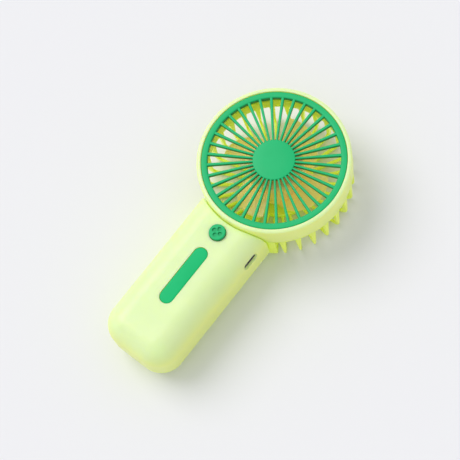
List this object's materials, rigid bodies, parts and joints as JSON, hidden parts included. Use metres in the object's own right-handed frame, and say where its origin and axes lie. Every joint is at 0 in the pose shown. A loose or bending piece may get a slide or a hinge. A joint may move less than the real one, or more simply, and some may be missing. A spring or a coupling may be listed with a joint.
{
  "type": "handheld electric fan",
  "caption": "Hand-held battery fan: a caged round head with a spinning impeller on a flat rounded handle with a push button, a light bar and a side charging socket.",
  "frame": {"origin": "on the impeller's axis, at the flat back of the head that the fan rests on", "axes": "+Z along the impeller's axis, out of the front grille; the handle runs towards -Y; +X is the side with the charging socket"},
  "size_m": [0.0784, 0.1585, 0.0375],
  "materials": {
    "lime_plastic": "satin moulded lime plastic",
    "green_plastic": "satin moulded green plastic",
    "blade_plastic": "satin, slightly translucent peach plastic",
    "lens_plastic": "smooth translucent green plastic",
    "cap_plastic": "fine-textured lime plastic",
    "white_plastic": "matt white plastic",
    "black_plastic": "matt black plastic",
    "screw_steel": "zinc-plated steel",
    "shaft_steel": "ground steel",
    "can_steel": "nickel-plated steel",
    "core_steel": "laminated electrical steel",
    "magnet": "dark bonded magnet",
    "bronze": "sintered bronze",
    "copper_wire": "enamelled copper wire",
    "board_green": "solder-masked board",
    "chip_black": "matt black packages",
    "lamp_white": "white lamp packages",
    "port_metal": "drawn stainless steel",
    "cell_sleeve": "shrink sleeve",
    "nickel_tab": "nickel strip",
    "foam": "closed-cell foam",
    "motor_wire": "black insulation",
    "red_wire": "red insulation",
    "black_wire": "black insulation"
  },
  "bodies": {
    "fan_body": {"head_ring": "lime_plastic", "front_grille": "green_plastic", "rear_guard": "lime_plastic", "rear_cap": "cap_plastic", "lead_channel_cover": "lime_plastic", "motor_base": "can_steel", "lower_bush": "bronze", "upper_bush": "bronze", "motor_board": "board_green", "motor_screws": "screw_steel", "motor_stator": "core_steel", "motor_coils": "copper_wire", "handle_front_shell": "lime_plastic", "handle_rear_shell": "lime_plastic", "handle_screws": "screw_steel", "tact_switch": "black_plastic", "light_lens": "lens_plastic", "light_box": "white_plastic", "indicator_lamps": "lamp_white", "circuit_board": "board_green", "board_chips": "chip_black", "board_screws": "screw_steel", "charging_port_shell": "port_metal", "charging_port_tongue": "black_plastic", "battery_cell": "cell_sleeve", "battery_tabs": "nickel_tab", "battery_foam_pad": "foam", "motor_leads": "motor_wire", "battery_lead_positive": "red_wire", "battery_lead_negative": "black_wire"},
    "rotor": {"motor_shaft": "shaft_steel", "shaft_clip": "black_plastic", "rotor_can": "can_steel", "magnet_ring": "magnet", "impeller": "blade_plastic"},
    "button": {"button_cap": "green_plastic", "switch_plunger": "black_plastic"}
  },
  "joints": [
    {"name": "impeller_spin", "type": "hinge", "parent": "fan_body", "child": "rotor", "pos_m": [0, 0, 0.0203], "axis": [0, 0, 1], "continuous": true},
    {"name": "button_press", "type": "slide", "parent": "fan_body", "child": "button", "axis": [0, 0, -1], "range_m": [0, 0.0004], "stiffness_N_per_m": 1500, "springref_m": -0.0003}
  ]
}
